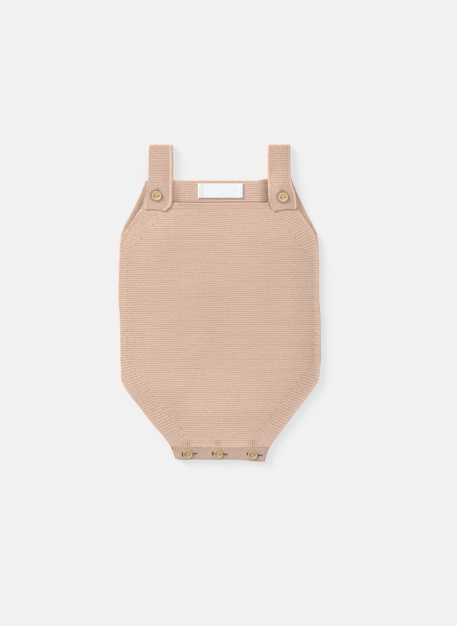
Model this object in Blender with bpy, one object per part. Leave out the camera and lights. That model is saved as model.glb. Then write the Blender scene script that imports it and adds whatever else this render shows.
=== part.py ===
"""Baby romper in fine ridged knit, laid flat with its front up.

X runs across the garment, Y up towards the shoulders and Z up from the surface it lies on.
The back lies on the surface and the front on the back. The shoulder straps come up from the
back's top corners, fold over and button down on the front's top corners. The crotch closes
with two bands, the front one buttoned over the back one. Left is -X, right is +X.
"""
from collections import namedtuple
from math import cos, exp, pi, radians, sin, tan

import bmesh
import bpy
from mathutils import Matrix, Vector

MM = 0.001

# Driving dimensions, in millimetres
WALL = 2.4                # knit cloth
SEAM = 0.3                # gap between two pieces that are linked or lie on each other
LOFT = 2.5                # air under the middle of the front
NECK_Y = 118.5            # front neckline
NECK_SAG = 0.7            # how much lower its middle hangs
BACK_NECK_Y = 145.3       # back neckline
SHOULDER_Y = {-1: 145.3, 1: 147.2}   # ends of the back's top corners, where the straps start
FOLD_Y = 188.2            # top of the straps, where they fold over
BAND_Y = -172.6           # lower edge of both panels
RIDGE_COUNT = 114         # knit ridges down the front
RIDGE_DEPTH = 0.35
ROUND_IN = 1.2            # width of the rounded edge of a knit piece
SELVEDGE = 4.0            # smooth edge of a panel, beside the ridges
CORNER_RISE = 9.0         # front's top corners, which carry the strap buttons
STRAP_LOOP_GAP = 1.2      # between the two layers of a folded strap
STRAP_RIDGE = 2.9         # ridge pitch on a strap
BAND_WALL = 2.0           # doubled jersey of the crotch bands
BAND_END_Y = -187.0       # lower edge of the crotch bands
BAND_SAG = 2.4            # how much lower the front band hangs at its right end
LABEL_SIZE = (54.0, 17.4, 0.7)
LABEL_SPOT = (0.4, 132.7)
BUTTON_RADIUS = 5.75      # 18 ligne
BUTTON_HOLE_RADIUS = 1.05
BUTTON_HOLE_SPACING = 4.4
STRAP_BUTTONHOLE = (15.0, 1.0)    # length and width
CROTCH_BUTTONHOLE = (17.4, 2.0)   # pulled open by the buttons

# Worked out from them
RIDGE = (NECK_Y - BAND_Y) / RIDGE_COUNT
LOOP_Y = FOLD_Y - WALL - STRAP_LOOP_GAP / 2
FRONT_BAND_LOW = WALL + 2 * SEAM

Section = namedtuple("Section", "y left right")
Turn = namedtuple("Turn", "y left right tilt")
Fold = namedtuple("Fold", "x y angle length width height")
Stitched = namedtuple("Stitched", "name x y")

# Half widths of the panels from the armholes down to the bands
SIDES = (
    Section(66, 120.0, 116.9),
    Section(50, 120.4, 117.5),
    Section(8, 121.4, 117.6),
    Section(-20, 119.7, 119.3),
    Section(-50, 119.2, 119.6),
    Section(-66, 119.2, 119.8),
    Section(-78, 118.8, 118.6),
    Section(-90, 118.3, 117.4),
    Section(-97.5, 115.7, 114.3),
    Section(-107, 109.6, 107.6),
    Section(-126, 95.1, 93.3),
    Section(-145, 80.9, 78.8),
    Section(-160, 67.7, 67.6),
    Section(-173, 59.9, 59.6),
)
BACK_SECTIONS = (
    Section(147, 88.9, 85.6),
    Section(136, 92.5, 89.5),
    Section(127, 96.3, 93.4),
    Section(117, 101.0, 97.7),
    Section(107.5, 105.8, 102.4),
    Section(98, 111.0, 107.3),
    Section(88.5, 115.8, 112.0),
    Section(79, 118.7, 115.4),
) + SIDES
FRONT_SECTIONS = (
    Section(140, 85.0, 85.0),
    Section(124, 89.0, 88.8),
    Section(112, 92.8, 92.8),
    Section(106, 98.6, 97.0),
    Section(98, 103.5, 102.2),
    Section(92, 107.6, 106.6),
    Section(86, 112.0, 110.6),
    Section(80, 115.8, 113.8),
) + SIDES
# Half widths of the straps' edges, from the fold down to the buttoned end
Strap = namedtuple("Strap", "y outer inner")
LEFT_STRAP = (
    Strap(188.2, 83.8, 57.2),
    Strap(185, 84.6, 56.5),
    Strap(175, 85.0, 56.3),
    Strap(150, 85.4, 56.3),
    Strap(136, 87.2, 56.3),
    Strap(125, 89.4, 56.4),
    Strap(118.5, 90.8, 56.9),
    Strap(114.5, 91.0, 59.4),
    Strap(110.6, 89.4, 65.2),
)
RIGHT_STRAP = (
    Strap(188.2, 82.4, 57.4),
    Strap(185, 83.0, 56.8),
    Strap(163, 83.1, 56.7),
    Strap(152, 83.6, 56.8),
    Strap(142, 85.2, 57.2),
    Strap(127, 89.7, 57.5),
    Strap(119.5, 90.7, 58.4),
    Strap(113.5, 91.0, 61.8),
    Strap(110.6, 89.2, 64.9),
)
BAND_SECTIONS = (
    Section(-172.9, 57.9, 57.1),
    Section(-177, 56.9, 56.1),
    Section(-181, 55.3, 55.0),
    Section(-185, 53.4, 53.7),
    Section(-190, 51.3, 51.4),
)
# Where the ridges turn into the fully fashioned borders: half widths, and tilt of the ridges
# beyond them in degrees, with the outer end up at the armholes and down at the legs
TURNS = (
    Turn(118.5, 56, 56, 20),
    Turn(114, 58.5, 59, 21),
    Turn(108, 65.5, 66, 22.5),
    Turn(100, 72.8, 72.5, 25),
    Turn(90, 81, 79, 27),
    Turn(82, 87.6, 84.5, 28),
    Turn(72, 96.4, 92, 26),
    Turn(64, 103, 98.5, 20),
    Turn(56, 107.5, 104.5, 11),
    Turn(46, 110, 109, 3),
    Turn(36, 110, 110, 0),
    Turn(-60, 110, 110, 0),
    Turn(-72, 107, 109, -8),
    Turn(-81, 100, 104, -17),
    Turn(-91, 91, 94.5, -19),
    Turn(-105, 83.5, 83.7, -21),
    Turn(-118, 75.5, 73.6, -23),
    Turn(-130, 64.5, 63.9, -24),
    Turn(-140, 55, 56, -26),
    Turn(-150, 47, 48.7, -27),
    Turn(-160, 42, 43.6, -27),
    Turn(-172.6, 36, 37.5, -27),
)
# Largest soft folds of the front, each a low swelling or hollow along a line
FOLDS = (
    Fold(-78, 62, 62, 44, 13, 0.5),
    Fold(82, 56, -58, 50, 14, 0.6),
    Fold(-30, 92, 8, 60, 16, -0.35),
    Fold(34, 22, 80, 90, 26, 0.4),
    Fold(-46, -18, 84, 80, 24, -0.4),
    Fold(-74, -84, -50, 42, 13, 0.5),
    Fold(70, -92, 52, 46, 14, 0.45),
    Fold(4, -128, 4, 70, 15, 0.4),
)
STRAP_BUTTONS = (Stitched("left", -75.2, 126.2), Stitched("right", 75.1, 124.6))
CROTCH_BUTTONS = (
    Stitched("left", -38.4, -180.6),
    Stitched("middle", -2.1, -180.6),
    Stitched("right", 38.8, -181.6),
)


def ease(t):
    """0 to 1 with a soft start and end."""
    t = min(max(t, 0.0), 1.0)
    return t * t * (3.0 - 2.0 * t)


def along(rows, y, column):
    """Value of a table's column at height y, on a smooth curve with no overshoot."""
    if y >= rows[0].y:
        return getattr(rows[0], column)
    if y <= rows[-1].y:
        return getattr(rows[-1], column)
    i = next(k for k in range(len(rows) - 1) if rows[k + 1].y <= y)

    def rise(k):
        if not 0 <= k < len(rows) - 1:
            return 0.0
        step = getattr(rows[k + 1], column) - getattr(rows[k], column)
        return step / (rows[k + 1].y - rows[k].y)

    def slope(k):
        before, after = rise(k - 1), rise(k)
        return 2 * before * after / (before + after) if before * after > 0 else 0.0

    height = rows[i + 1].y - rows[i].y
    t = (y - rows[i].y) / height
    start, end = getattr(rows[i], column), getattr(rows[i + 1], column)
    return (
        (1 + 2 * t) * (1 - t) ** 2 * start
        + t * (1 - t) ** 2 * height * slope(i)
        + t * t * (3 - 2 * t) * end
        - t * t * (1 - t) * height * slope(i + 1)
    )


def half_width(rows, x, y):
    return along(rows, y, "left" if x < 0 else "right")


def rounded(inset):
    """Share of the wall left at this distance from a piece's edge."""
    return 0.55 + 0.45 * sin(pi / 2 * min(inset / ROUND_IN, 1.0))


# ---- Heights of the front, which the straps and buttons lie on

def fold_height(x, y):
    total = 0.0
    for fold in FOLDS:
        turn = radians(fold.angle)
        lengthwise = (x - fold.x) * cos(turn) + (y - fold.y) * sin(turn)
        across = (y - fold.y) * cos(turn) - (x - fold.x) * sin(turn)
        total += fold.height * exp(-((lengthwise / fold.length) ** 2) - (across / fold.width) ** 2)
    return total


def front_under(x, y):
    """Height of the front's underside: on the back at its edges, lofted in between."""
    from_side = half_width(FRONT_SECTIONS, x, y) - abs(x)
    at_neck = 0.2 + 0.8 * ease((NECK_Y - y) / 45)
    at_band = 0.15 + 0.85 * ease((y - BAND_Y) / 50)
    # The right flank rises over a longer way than the left one
    rightwards = ease((x + 40) / 80)
    spread = 0.5 * ease(from_side / (22 + 10 * rightwards)) + 0.5 * ease(from_side / (22 + 63 * rightwards))
    return WALL + SEAM + max(spread * at_neck * at_band * (LOFT + fold_height(x, y)), 0.0)


# ---- Cloth walls

def cloth_wall(name, columns, rows, place, fine=(0, 0, 0)):
    """A closed cloth wall: a grid of columns by rows, extruded, then placed point by point.

    place(column, row, upper) gives a point in millimetres. fine is (first row, last row,
    cuts): the upper face's rows between those two are cut that many times, for ridges.
    """
    mesh = bpy.data.meshes.new(name)
    bm = bmesh.new()
    bmesh.ops.create_grid(bm, x_segments=columns, y_segments=rows, size=0.5)
    column_of = bm.verts.layers.float.new("column")
    row_of = bm.verts.layers.float.new("row")
    upper_of = bm.verts.layers.float.new("upper")
    for vert in bm.verts:
        vert[column_of] = round((vert.co.x + 0.5) * columns)
        vert[row_of] = round((0.5 - vert.co.y) * rows)
    lifted = bmesh.ops.extrude_face_region(bm, geom=bm.faces[:])["geom"]
    for vert in (item for item in lifted if isinstance(item, bmesh.types.BMVert)):
        vert[upper_of] = 1.0
    first, last, cuts = fine
    downward = [
        edge for edge in bm.edges
        if all(v[upper_of] > 0.5 and first <= v[row_of] <= last for v in edge.verts)
        and edge.verts[0][row_of] != edge.verts[1][row_of]
    ]
    if cuts:
        bmesh.ops.subdivide_edges(bm, edges=downward, cuts=cuts, use_grid_fill=True)
    for vert in bm.verts:
        point = place(vert[column_of], vert[row_of], vert[upper_of] > 0.5)
        vert.co = Vector(point) * MM
    bmesh.ops.triangulate(bm, faces=bm.faces[:])
    bmesh.ops.recalc_face_normals(bm, faces=bm.faces[:])
    bm.to_mesh(mesh)
    bm.free()
    piece = bpy.data.objects.new(name, mesh)
    bpy.context.scene.collection.objects.link(piece)
    return piece


def ridge(row):
    """-1 in a groove, 0 on a ridge: one ridge to a row."""
    return -abs(2 * (row % 1.0) - 1.0)


BORDER_INSETS = (0.0, ROUND_IN, SELVEDGE)
INNER_SHARES = (1.0, 0.68, 0.34)
HALF_COLUMNS = len(BORDER_INSETS) + 1 + len(INNER_SHARES)


def ridge_height(x, row, turn_x, tilt):
    """Y of a ridge at half width x: level, tilted beyond the turn, up to the front's corners."""
    from_neck = row * RIDGE
    sag = NECK_SAG * ease(1 - x / 50) * ease(1 - from_neck / 20)
    corner = CORNER_RISE * ease((x - turn_x) / 15) * ease(1 - from_neck / CORNER_RISE)
    beyond = max(x - turn_x, 0.0)
    return NECK_Y - from_neck - sag + beyond * tan(radians(tilt)) + corner


def strap_under(x, y):
    """Height of the upper layer's underside: on the front's corner, on the back, up to the fold."""
    above = y - ridge_height(abs(x), 0, half_width(TURNS, x, NECK_Y), TURNS[0].tilt)
    on_front = front_under(x, min(y, FRONT_SECTIONS[0].y)) + WALL + SEAM
    on_back = WALL + SEAM + (STRAP_LOOP_GAP - SEAM) * ease((y - 148) / 16)
    return on_front + (on_back - on_front) * ease(above / 28)


def ridge_end(side, row, turn_x, tilt):
    """Half width at which a ridge meets the side, the armhole, the leg or the band."""
    def outside(x):
        y = ridge_height(x, row, turn_x, tilt)
        return y < BAND_Y - 1e-6 or x > half_width(FRONT_SECTIONS, side * x, y)

    near = turn_x
    while not outside(near + 0.5):
        near += 0.5
    far = near + 0.5
    for _ in range(20):
        middle = (near + far) / 2
        near, far = (near, middle) if outside(middle) else (middle, far)
    return near


def front_ends():
    """Turn, tilt and end of each ridge and groove of the front on each side, worked out once."""
    found = {}
    for half_row in range(2 * RIDGE_COUNT + 1):
        row = half_row / 2
        y = NECK_Y - row * RIDGE
        tilt = along(TURNS, y, "tilt")
        for side in (-1, 1):
            turn_x = half_width(TURNS, side, y)
            found[half_row, side] = (turn_x, tilt, ridge_end(side, row, turn_x, tilt))
    return found


FRONT_ENDS = front_ends()
COARSE_ROWS = 19
RIDGES_PER_ROW = RIDGE_COUNT // COARSE_ROWS


def place_front(column, row, upper):
    row *= RIDGES_PER_ROW
    from_edge = round(min(column, 2 * HALF_COLUMNS - column))
    side = -1 if column < HALF_COLUMNS else 1
    turn_x, tilt, end = FRONT_ENDS[round(2 * row), side]
    border = end - turn_x
    if from_edge < len(BORDER_INSETS):
        inset = BORDER_INSETS[from_edge] * min(border / 12.0, 1.0)
        x = end - inset
    elif from_edge == len(BORDER_INSETS):
        inset = border * 0.55
        x = end - inset
    else:
        x = turn_x * (INNER_SHARES + (0.0,))[from_edge - len(BORDER_INSETS) - 1]
        inset = end - x
    y = ridge_height(x, row, turn_x, tilt)
    x *= side
    height = front_under(x, y)
    if upper:
        to_end = min(row, RIDGE_COUNT - row) * RIDGE
        relief = RIDGE_DEPTH * ease(inset / SELVEDGE) * (to_end > 0)
        height += WALL * min(rounded(inset), rounded(to_end)) + relief * ridge(row)
    return x, y, height


BACK_INSETS = (0.0, ROUND_IN, SELVEDGE, 14.0)
BACK_SHARES = (0.68, 0.34, 0.0)
BACK_HALF_COLUMNS = len(BACK_INSETS) + len(BACK_SHARES) - 1
BACK_RIDGED = 10          # ridges of the back seen in the neck opening
BACK_ROWS = (0, BACK_RIDGED, 17, 24, 31, 38, 46, 60, 76, 86, 92, 97, 101, 105, 109, 113, 117, 121)
BACK_RIDGE = (BACK_NECK_Y - BAND_Y) / BACK_ROWS[-1]


def place_back(column, row, upper):
    low = min(int(row), len(BACK_ROWS) - 2)
    ridges = BACK_ROWS[low] + (row - low) * (BACK_ROWS[low + 1] - BACK_ROWS[low])
    from_edge = round(min(column, 2 * BACK_HALF_COLUMNS - column))
    side = -1 if column < BACK_HALF_COLUMNS else 1
    y = BACK_NECK_Y - ridges * BACK_RIDGE
    end = half_width(BACK_SECTIONS, side, y)
    if from_edge < len(BACK_INSETS):
        x = end - BACK_INSETS[from_edge]
    else:
        x = (end - BACK_INSETS[-1]) * BACK_SHARES[from_edge - len(BACK_INSETS)]
    inset = end - x
    y += (SHOULDER_Y[side] - BACK_NECK_Y) * ease((x - 42) / 14) * ease(1 - ridges / 5)
    to_end = min(ridges * BACK_RIDGE, BACK_NECK_Y - BAND_Y - ridges * BACK_RIDGE)
    if not upper:
        return side * x, y, WALL * (1 - rounded(inset)) * 0.8
    relief = RIDGE_DEPTH * ease(inset / SELVEDGE) * (0 < ridges < BACK_RIDGED)
    worn = rounded(to_end) if ridges < BACK_RIDGED else 1.0
    return side * x, y, WALL * worn + relief * ridge(ridges)


STRAP_TIP_Y = LEFT_STRAP[-1].y
STRAP_RIDGES = round((LOOP_Y - STRAP_TIP_Y) / STRAP_RIDGE)
STRAP_COARSE = 13         # rows of the upper layer, two ridges to each
LOOP_ROWS = 4
UNDER_ROWS = 4
STRAP_SHARES = (0.0, 0.05, 0.17, 0.5, 0.83, 0.95, 1.0)


def strap_place(side, edges):
    """Places a folded strap: up the front's corner to the fold, round, and down to the back."""
    def place(column, row, upper):
        share = STRAP_SHARES[round(column)]
        if row <= STRAP_COARSE:
            y = STRAP_TIP_Y + (LOOP_Y - STRAP_TIP_Y) * row / STRAP_COARSE
        else:
            y = LOOP_Y
        outer = along(edges, y, "outer")
        inner = along(edges, y, "inner")
        x = side * (outer + share * (inner - outer))
        inset = min(share, 1 - share) * (outer - inner)
        if row <= STRAP_COARSE:
            height = strap_under(x, y)
            if upper:
                count = row * STRAP_RIDGES / STRAP_COARSE
                relief = RIDGE_DEPTH * (0.2 + 0.8 * ease(inset / SELVEDGE)) * (0 < row < STRAP_COARSE)
                thick = WALL * min(rounded(inset), rounded(y - STRAP_TIP_Y))
                height += thick + relief * ridge(count)
            return x, y, height
        if row <= STRAP_COARSE + LOOP_ROWS:
            turned = pi * (row - STRAP_COARSE) / LOOP_ROWS
            radius = STRAP_LOOP_GAP / 2 + (WALL * rounded(inset) if upper else 0.0)
            centre = WALL + STRAP_LOOP_GAP / 2
            return x, LOOP_Y + radius * sin(turned), centre + radius * cos(turned)
        down = (row - STRAP_COARSE - LOOP_ROWS) / UNDER_ROWS
        y = LOOP_Y + (SHOULDER_Y[side] + SEAM - LOOP_Y) * down
        return x, y, WALL * (1 - rounded(inset)) * 0.8 if upper else WALL

    return place


BAND_COLUMNS = 16
BAND_ROW_SHARES = (0.0, 0.08, 0.3, 0.5, 0.7, 0.92, 1.0)
BAND_COLUMN_INSETS = (0.0, ROUND_IN)


def band_place(low, wall, shorter, from_left, from_right):
    """Places a crotch band whose underside is at height low, inside the bands' outline."""
    def place(column, row, upper):
        share = BAND_ROW_SHARES[round(row)]
        from_edge = min(column, BAND_COLUMNS - column)
        side = -1 if column < BAND_COLUMNS / 2 else 1
        top = BAND_Y - SEAM
        level = along(BAND_SECTIONS, top, "right")
        sag = BAND_SAG * ease((side * level * abs(2 * column / BAND_COLUMNS - 1) - 18) / 38)
        y = top + share * (BAND_END_Y - sag + shorter - top)
        end = half_width(BAND_SECTIONS, side, y) - (from_left if side < 0 else from_right)
        if from_edge < len(BAND_COLUMN_INSETS):
            inset = BAND_COLUMN_INSETS[round(from_edge)]
            x = end - inset
        else:
            x = (end - ROUND_IN) * (BAND_COLUMNS / 2 - from_edge) / (BAND_COLUMNS / 2 - 1)
            inset = end - x
        if not upper:
            return side * x, y, low
        edge = min(inset, (1 - share) * (top - BAND_END_Y))
        return side * x, y, low + wall * rounded(edge)

    return place


LABEL_SHARES = (0.0, 0.03, 0.35, 0.65, 0.97, 1.0)


def place_label(column, row, upper):
    length, width, thick = LABEL_SIZE
    x = LABEL_SPOT[0] + (LABEL_SHARES[round(column)] - 0.5) * length
    y = LABEL_SPOT[1] + (0.5 - row) * width
    folded_end = LABEL_SHARES[round(column)] in (0.0, 1.0)
    height = thick * (0.6 if folded_end else 1.0)
    return x, y, WALL + SEAM + (height if upper else 0.0)


# ---- Buttons and buttonholes

def new_object(name, bm):
    mesh = bpy.data.meshes.new(name)
    bmesh.ops.recalc_face_normals(bm, faces=bm.faces[:])
    bm.to_mesh(mesh)
    bm.free()
    made = bpy.data.objects.new(name, mesh)
    bpy.context.scene.collection.objects.link(made)
    return made


def cut(piece, name, cutter):
    cutter.hide_render = True
    cutter.display_type = "WIRE"
    boolean = piece.modifiers.new(name, "BOOLEAN")
    boolean.operation = "DIFFERENCE"
    boolean.object = cutter


def sewn_button(name, x, y, low, turn):
    """A turned two-hole button with a raised rim, its back at height low."""
    profile = ((0, 0), (4.7, 0), (5.5, 0.45), (BUTTON_RADIUS, 1.1), (5.5, 1.9), (4.9, 2.2),
               (4.2, 2.0), (3.5, 1.45), (0, 1.3))
    bm = bmesh.new()
    verts = [bm.verts.new((radius * MM, 0, z * MM)) for radius, z in profile]
    edges = [bm.edges.new(pair) for pair in zip(verts, verts[1:])]
    bmesh.ops.spin(bm, geom=verts + edges, cent=(0, 0, 0), axis=(0, 0, 1), angle=2 * pi,
                   steps=26, use_merge=True)
    bmesh.ops.remove_doubles(bm, verts=bm.verts[:], dist=1e-6)
    button = new_object(name, bm)
    button.data.shade_smooth()
    button.data.set_sharp_from_angle(angle=radians(50))
    button.location = Vector((x, y, low)) * MM
    holes = bmesh.new()
    for side in (-1, 1):
        spot = Matrix.Translation((side * BUTTON_HOLE_SPACING / 2 * MM, 0, MM))
        bmesh.ops.create_cone(holes, cap_ends=True, segments=10, radius1=BUTTON_HOLE_RADIUS * MM,
                              radius2=BUTTON_HOLE_RADIUS * MM, depth=6 * MM, matrix=spot)
    cutter = new_object(name + "_holes", holes)
    cutter.location = button.location
    cutter.rotation_euler.z = button.rotation_euler.z = radians(turn)
    cut(button, "thread_holes", cutter)
    return button


def buttonhole(piece, name, x, y, wide, high):
    """Cuts a slit through a piece, wide along X and high along Y."""
    bm = bmesh.new()
    bmesh.ops.create_cube(bm, size=MM)
    bmesh.ops.scale(bm, vec=(wide, high, 16.0), verts=bm.verts[:])
    slit = new_object(name, bm)
    slit.location = Vector((x, y, 8.0)) * MM
    cut(piece, name, slit)


def material(name, colour, roughness):
    made = bpy.data.materials.new(name)
    made.use_nodes = True
    shader = made.node_tree.nodes["Principled BSDF"]
    shader.inputs["Base Color"].default_value = (*colour, 1.0)
    shader.inputs["Roughness"].default_value = roughness
    shader.inputs["Metallic"].default_value = 0.0
    made.diffuse_color = (*colour, 1.0)
    return made


for old in list(bpy.data.objects):
    bpy.data.objects.remove(old, do_unlink=True)

# Straps, bands and label are knit or woven; the buttons are turned from pale corozo nut
KNIT = material("sand_knit", (0.69, 0.48, 0.38), 0.9)
COROZO = material("pale_corozo", (0.62, 0.43, 0.24), 0.35)
WOVEN = material("white_woven_label", (0.86, 0.87, 0.88), 0.75)

knitted = [
    cloth_wall("back_panel", 2 * BACK_HALF_COLUMNS, len(BACK_ROWS) - 1, place_back,
               fine=(0, 1, 2 * BACK_RIDGED - 1)),
    cloth_wall("front_panel", 2 * HALF_COLUMNS, COARSE_ROWS, place_front,
               fine=(0, COARSE_ROWS, 2 * RIDGES_PER_ROW - 1)),
]
slit_length, slit_width = STRAP_BUTTONHOLE
for button_place, strap_side, edges in zip(STRAP_BUTTONS, (-1, 1), (LEFT_STRAP, RIGHT_STRAP)):
    strap = cloth_wall("strap_" + button_place.name, len(STRAP_SHARES) - 1,
                       STRAP_COARSE + LOOP_ROWS + UNDER_ROWS, strap_place(strap_side, edges),
                       fine=(0, STRAP_COARSE, 3))
    buttonhole(strap, "buttonhole_strap_" + button_place.name, button_place.x,
               button_place.y + 2.0, slit_width, slit_length)
    knitted.append(strap)

front_band = cloth_wall("crotch_band_front", BAND_COLUMNS, len(BAND_ROW_SHARES) - 1,
                        band_place(FRONT_BAND_LOW, BAND_WALL, 0.0, 2.4, 0.0))
slit_length, slit_width = CROTCH_BUTTONHOLE
for button_place in CROTCH_BUTTONS:
    buttonhole(front_band, "buttonhole_crotch_" + button_place.name, button_place.x + 1.5,
               button_place.y, slit_length, slit_width)
knitted.append(front_band)
knitted.append(cloth_wall("crotch_band_back", BAND_COLUMNS, len(BAND_ROW_SHARES) - 1,
                          band_place(0.0, WALL, 0.8, 0.0, 0.8)))
label = cloth_wall("neck_label", len(LABEL_SHARES) - 1, 1, place_label)

buttons = []
for button_place in STRAP_BUTTONS:
    spots = [(button_place.x + BUTTON_RADIUS * cos(k * pi / 4),
              button_place.y + BUTTON_RADIUS * sin(k * pi / 4)) for k in range(8)]
    strap_top = max(strap_under(x, y) for x, y in spots) + WALL
    buttons.append(sewn_button("strap_button_" + button_place.name, button_place.x,
                               button_place.y, strap_top + SEAM, 0))
for button_place, button_turn in zip(CROTCH_BUTTONS, (8, -6, 14)):
    buttons.append(sewn_button("crotch_button_" + button_place.name, button_place.x,
                               button_place.y, FRONT_BAND_LOW + BAND_WALL + SEAM, button_turn))

for piece in knitted:
    piece.data.materials.append(KNIT)
for button in buttons:
    button.data.materials.append(COROZO)
label.data.materials.append(WOVEN)
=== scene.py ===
"""Baby romper in fine ridged cotton knit, laid flat with its front up.

X runs across the garment, Y up towards the shoulders and Z up from the surface it lies on.
Left is -X, right is +X. Sizes are in millimetres, and meshes are placed in metres.
"""
from collections import namedtuple
from functools import partial
from math import cos, pi, radians, sin

import bmesh
import bpy
import numpy as np
from mathutils import Matrix, Vector


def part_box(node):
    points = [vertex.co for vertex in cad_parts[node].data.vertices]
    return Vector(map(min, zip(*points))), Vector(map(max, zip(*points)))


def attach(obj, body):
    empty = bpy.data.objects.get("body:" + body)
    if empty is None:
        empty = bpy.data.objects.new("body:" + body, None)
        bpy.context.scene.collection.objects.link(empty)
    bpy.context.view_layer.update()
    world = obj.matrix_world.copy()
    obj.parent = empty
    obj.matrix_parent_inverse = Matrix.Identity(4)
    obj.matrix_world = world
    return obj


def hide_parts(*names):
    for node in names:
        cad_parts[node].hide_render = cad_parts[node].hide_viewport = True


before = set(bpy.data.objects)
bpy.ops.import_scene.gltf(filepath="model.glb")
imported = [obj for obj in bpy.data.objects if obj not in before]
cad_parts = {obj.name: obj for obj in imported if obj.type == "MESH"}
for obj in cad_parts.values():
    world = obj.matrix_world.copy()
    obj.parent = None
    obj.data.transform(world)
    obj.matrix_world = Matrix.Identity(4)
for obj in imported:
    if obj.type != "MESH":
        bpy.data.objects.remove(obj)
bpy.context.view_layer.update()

# ---- Back panel
# One piece of ridged cotton knit, fully fashioned: its ridges run level and turn into slanted
# borders at the armholes and legs. It lies on the surface and carries everything else. Its
# inside shows in the neck opening and in a sliver beside each armhole.

MM = 0.001
WALL = 2.4                # knit cloth
SEAM = 0.3                # gap between two pieces that are linked or lie on each other
STITCH = 2.6              # width of one stitch
BAND_Y = -172.6           # lower edge of both panels
NECK_Y = 118.5            # the front's neck edge, which lies across the back
RIDGE_DEPTH = 0.29        # from a ridge down to the groove beside it
ROUND_IN = 1.0            # radius of the rounded edge of a knit piece
SELVEDGE = 4.4            # smooth edge beside the ridges
SMOOTHED = 0.85           # how much of a ridge's depth is lost in smooth knit

Section = namedtuple("Section", "y left right")
Turn = namedtuple("Turn", "y left right tilt")
Panel = namedtuple("Panel", "sections turns top sag ridges rise rise_from rise_over rise_ridges"
                   " cuts depth both_ridged")
Cloth = namedtuple("Cloth", "x y z smooth inset turned ended ridges level slanted")


def rows_of(kind, *rows):
    """A table's rows of numbers, as named rows."""
    return tuple(kind(*row) for row in rows)


# Half widths from the armholes down to the crotch bands
SIDES = rows_of(
    Section,
    (66, 120.0, 116.9), (50, 120.4, 117.5), (8, 121.4, 117.6), (-20, 119.7, 119.3),
    (-50, 119.2, 119.6), (-66, 119.2, 119.8), (-78, 118.8, 118.6), (-90, 118.3, 117.4),
    (-97.5, 115.7, 114.3), (-107, 109.6, 107.6), (-126, 95.1, 93.3), (-145, 80.9, 78.8),
    (-160, 67.7, 67.6), (-173, 59.9, 59.6),
)
BACK_SECTIONS = rows_of(
    Section,
    (147, 88.9, 85.6), (136, 92.5, 89.5), (127, 96.3, 93.4), (117, 101.0, 97.7),
    (107.5, 105.8, 102.4), (98, 111.0, 107.3), (88.5, 115.8, 112.0), (79, 118.7, 115.4),
) + SIDES
# Half widths where the ridges turn, and how far they tilt beyond that, in degrees
LOWER_TURNS = rows_of(
    Turn,
    (100, 72.8, 72.5, 25), (90, 81, 79, 27), (82, 87.6, 84.5, 28), (72, 96.4, 92, 26),
    (64, 103, 98.5, 20), (56, 107.5, 104.5, 11), (46, 110, 109, 3), (36, 110, 110, 0),
    (-60, 110, 110, 0), (-72, 107, 109, -8), (-81, 100, 104, -17), (-91, 91, 94.5, -19),
    (-105, 83.5, 83.7, -21), (-118, 75.5, 73.6, -23), (-130, 64.5, 63.9, -24),
    (-140, 55, 56, -26), (-150, 47, 48.7, -27), (-160, 42, 43.6, -27), (-172.6, 36, 37.5, -27),
)
BACK_TURNS = rows_of(Turn, (145.3, 62, 62, 0), (132, 63, 63, 6), (116, 66, 66, 16)) + LOWER_TURNS
BACK = Panel(BACK_SECTIONS, BACK_TURNS, top=145.3, sag=0.0, ridges=121, rise=(0.0, 1.9),
             rise_from=42.0, rise_over=14.0, rise_ridges=5.0, cuts=5,
             depth=1.3 * RIDGE_DEPTH, both_ridged=True)


def ease(t):
    """0 to 1 with a soft start and end."""
    t = np.clip(t, 0.0, 1.0)
    return t * t * (3.0 - 2.0 * t)


def hump(away, reach):
    """1 in the middle, falling off to either side."""
    return np.exp(-((away / reach) ** 2))


def along(rows, y, column):
    """Values of a table's column at heights y, on a smooth curve with no overshoot."""
    heights = np.array([row.y for row in rows], float)[::-1]
    values = np.array([getattr(row, column) for row in rows], float)[::-1]
    rises = np.diff(values) / np.diff(heights)
    before = np.concatenate(([0.0], rises))
    after = np.concatenate((rises, [0.0]))
    same_way = before * after > 0
    total = np.where(same_way, before + after, 1.0)
    slopes = np.where(same_way, 2 * before * after / total, 0.0)
    y = np.clip(y, heights[0], heights[-1])
    low = np.clip(np.searchsorted(heights, y, side="right") - 1, 0, len(rises) - 1)
    height = heights[low + 1] - heights[low]
    t = (y - heights[low]) / height
    bend = t * (1 - t) * height * ((1 - t) * slopes[low] - t * slopes[low + 1])
    return values[low] + ease(t) * (values[low + 1] - values[low]) + bend


def half_width(sections, x, y):
    """The table's half width at height y, on the side that x is on."""
    return np.where(x < 0, along(sections, y, "left"), along(sections, y, "right"))


def soft_waves(seed, count, shortest, longest):
    """Unevenness of cloth laid by hand: a function of x and y, mostly within -1 to 1."""
    draw = np.random.default_rng(seed)
    lengths = draw.uniform(shortest, longest, count)
    headings = draw.uniform(0, pi, count)
    phases = draw.uniform(0, 2 * pi, count)

    def height(x, y):
        total = 0.0
        for length, heading, phase in zip(lengths, headings, phases):
            total = total + np.sin((x * cos(heading) + y * sin(heading)) * 2 * pi / length + phase)
        return total / count ** 0.5 / 1.2

    return height


RIDGE_DRIFT = soft_waves(seed=5, count=7, shortest=45, longest=150)
RIDGE_JITTER = soft_waves(seed=8, count=9, shortest=9, longest=22)


def ridge_y(panel, side, ridges, x, turn_x, tilt):
    """Y of a ridge at half width x: level, slanted beyond the turn, raised at the top corners."""
    pitch = (panel.top - BAND_Y) / panel.ridges
    beyond = np.maximum(x - turn_x, 0.0)
    start = turn_x if panel.rise_from is None else panel.rise_from
    corner = np.where(side < 0, *panel.rise) * ease((x - start) / panel.rise_over)
    corner = corner * ease(1 - ridges / panel.rise_ridges)
    sag = panel.sag * ease(1 - x / 50) * ease(1 - ridges * pitch / 20)
    return panel.top - ridges * pitch - sag + beyond * np.tan(np.radians(tilt)) + corner


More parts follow.
